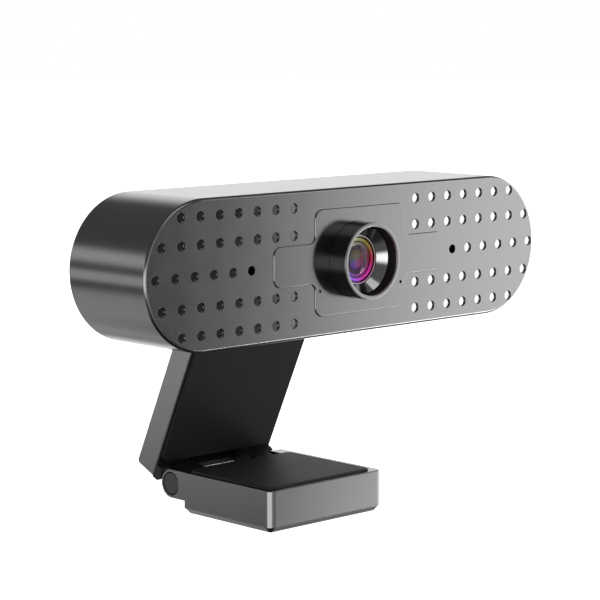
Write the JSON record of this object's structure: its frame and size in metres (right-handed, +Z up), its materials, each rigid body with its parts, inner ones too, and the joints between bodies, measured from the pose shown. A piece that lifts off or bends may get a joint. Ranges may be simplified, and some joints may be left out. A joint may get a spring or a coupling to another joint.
{
  "type": "webcam on clip stand",
  "caption": "Pill-shaped webcam head with a dimpled face and focus ring, tilting on a slanted arm that folds onto a padded clip foot with a tripod thread.",
  "frame": {"origin": "mouth of the tripod thread, at the middle of the foot's underside", "axes": "+X to the right along the head, +Y to the back (the lens looks along -Y), +Z up"},
  "size_m": [0.1112, 0.0552, 0.0711],
  "materials": {
    "gunmetal": "satin anodised, dark grey",
    "dark_cap": "satin anodised, darker grey",
    "black_plastic": "fine matte moulded",
    "lens_black": "polished black",
    "rubber": "satin silicone rubber",
    "black_steel": "black oxide steel",
    "brass": "turned brass",
    "steel": "ground steel",
    "black_metal": "black powder coat",
    "aluminium": "bright aluminium can",
    "circuit_board": "green solder mask",
    "sensor_glass": "dark cover glass",
    "filter_glass": "bluish infrared filter",
    "coated_glass": "multi-coated lens glass",
    "clear_plastic": "clear acrylic",
    "focus_ring": "polished black with a bright front lip"
  },
  "bodies": {
    "foot": {"foot_shell": "gunmetal", "foot_base": "black_plastic", "foot_pad": "rubber", "foot_screws": "black_steel", "thread_insert": "brass", "foot_pin": "steel", "foot_pin_caps": "dark_cap", "foot_washers": "steel"},
    "arm": {"arm_shell": "gunmetal", "arm_frame": "black_plastic", "arm_pad": "rubber", "arm_screws": "black_steel", "hinge_sleeve": "black_plastic", "tilt_pin": "steel", "tilt_pin_caps": "dark_cap", "tilt_washers": "steel"},
    "head": {"head_shell": "gunmetal", "centre_plate": "gunmetal", "rear_cover": "black_plastic", "cover_screws": "black_steel", "tilt_bracket": "black_metal", "bracket_screws": "black_steel", "cable_gland": "rubber", "main_board": "circuit_board", "board_screws": "black_steel", "board_chips": "black_plastic", "cable_connector": "black_plastic", "image_sensor": "sensor_glass", "ir_filter": "filter_glass", "lens_holder": "black_plastic", "holder_screws": "black_steel", "microphones": "aluminium", "mic_boots": "rubber", "status_leds": "clear_plastic", "light_pipes": "clear_plastic"},
    "ring": {"focus_ring": "focus_ring"},
    "lens": {"lens_barrel": "lens_black", "front_element": "coated_glass", "inner_elements": "coated_glass", "spacer_rings": "lens_black"}
  },
  "joints": [
    {"name": "foot_hinge", "type": "hinge", "parent": "foot", "child": "arm", "pos_m": [0, 0.0175, 0.0058], "axis": [1, 0, 0], "range_deg": [-40, 64]},
    {"name": "head_tilt", "type": "hinge", "parent": "arm", "child": "head", "pos_m": [0, 0.00924, 0.04408], "axis": [1, 0, 0], "range_deg": [-30, 30]},
    {"name": "focus_turn", "type": "hinge", "parent": "head", "child": "ring", "pos_m": [0.00045, -0.02181, 0.05608], "axis": [0, -1, 0], "range_deg": [-91, 91]},
    {"name": "focus_travel", "type": "slide", "parent": "head", "child": "lens", "axis": [0, -1, 0], "range_m": [-0.0005, 0.0005]}
  ],
  "couplings": [
    {"joint": "focus_turn", "follows": "focus_travel", "rad_per_m": 3141.6}
  ]
}
